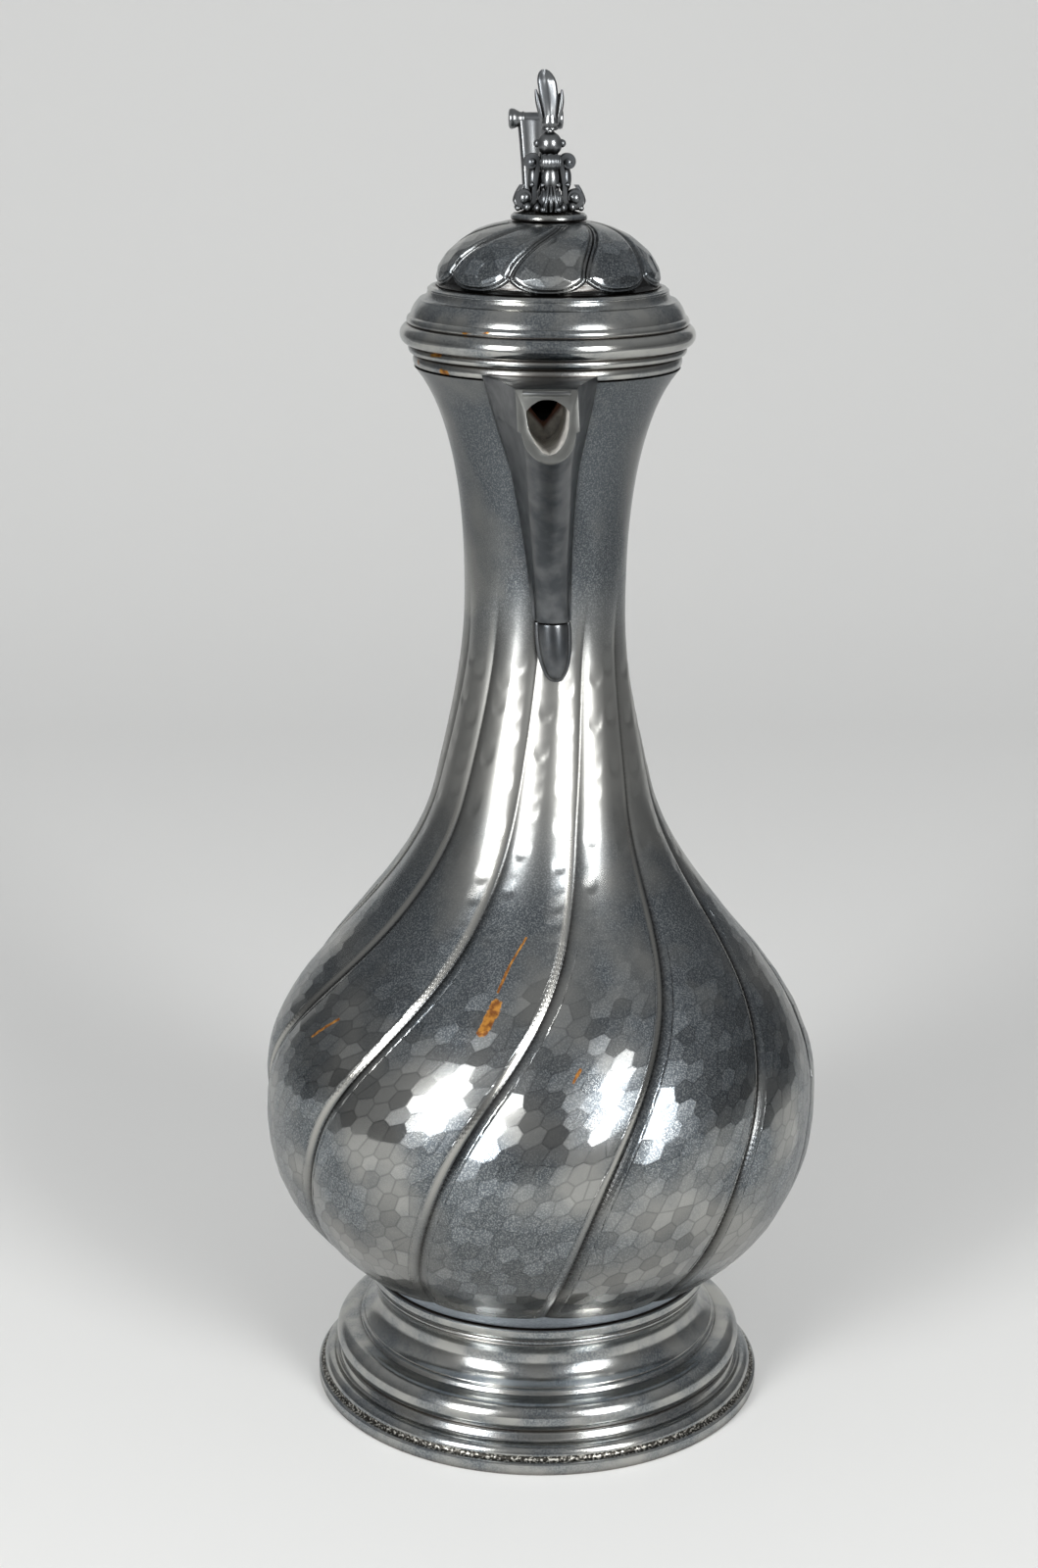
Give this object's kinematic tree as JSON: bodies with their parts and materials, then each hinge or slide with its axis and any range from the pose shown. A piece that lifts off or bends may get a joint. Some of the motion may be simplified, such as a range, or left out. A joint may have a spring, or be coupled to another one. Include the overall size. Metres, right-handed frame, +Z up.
{
  "type": "wine jug",
  "caption": "Pewter wine jug with a twisted fluted bulb, tall neck, moulded foot, beak spout, loop handle and hinged domed lid with a scrolled finial.",
  "frame": {"origin": "on the jug's axis, in the plane that the foot's rim rests on", "axes": "+Z up along the jug's axis, -Y towards the spout, +Y towards the handle and the lid's hinge"},
  "size_m": [0.1518, 0.153, 0.3586],
  "materials": {
    "hammered_pewter": "hammered, satin with a dull patina",
    "turned_pewter": "turned and polished",
    "cast_pewter": "cast, dull in the recesses"
  },
  "bodies": {
    "jug": {"foot": "turned_pewter", "foot_collar": "turned_pewter", "body_bowl": "hammered_pewter", "body_neck": "hammered_pewter", "mouth_ring": "turned_pewter", "spout": "cast_pewter", "spout_drop": "cast_pewter", "handle": "cast_pewter", "hinge_pin": "cast_pewter"},
    "lid": {"lid_arm": "cast_pewter", "thumbpiece": "cast_pewter", "lid_rim": "turned_pewter", "lid_bezel": "turned_pewter", "lid_dome": "hammered_pewter", "finial_disc": "turned_pewter", "finial_nut": "cast_pewter", "finial_stem": "cast_pewter", "finial_scroll_front": "cast_pewter", "finial_scroll_right": "cast_pewter", "finial_scroll_back": "cast_pewter", "finial_scroll_left": "cast_pewter", "finial_bud": "cast_pewter"}
  },
  "joints": [
    {"name": "lid_hinge", "type": "hinge", "parent": "jug", "child": "lid", "pos_m": [0, 0.044, 0.29], "axis": [-1, 0, 0], "range_deg": [0, 100]}
  ]
}
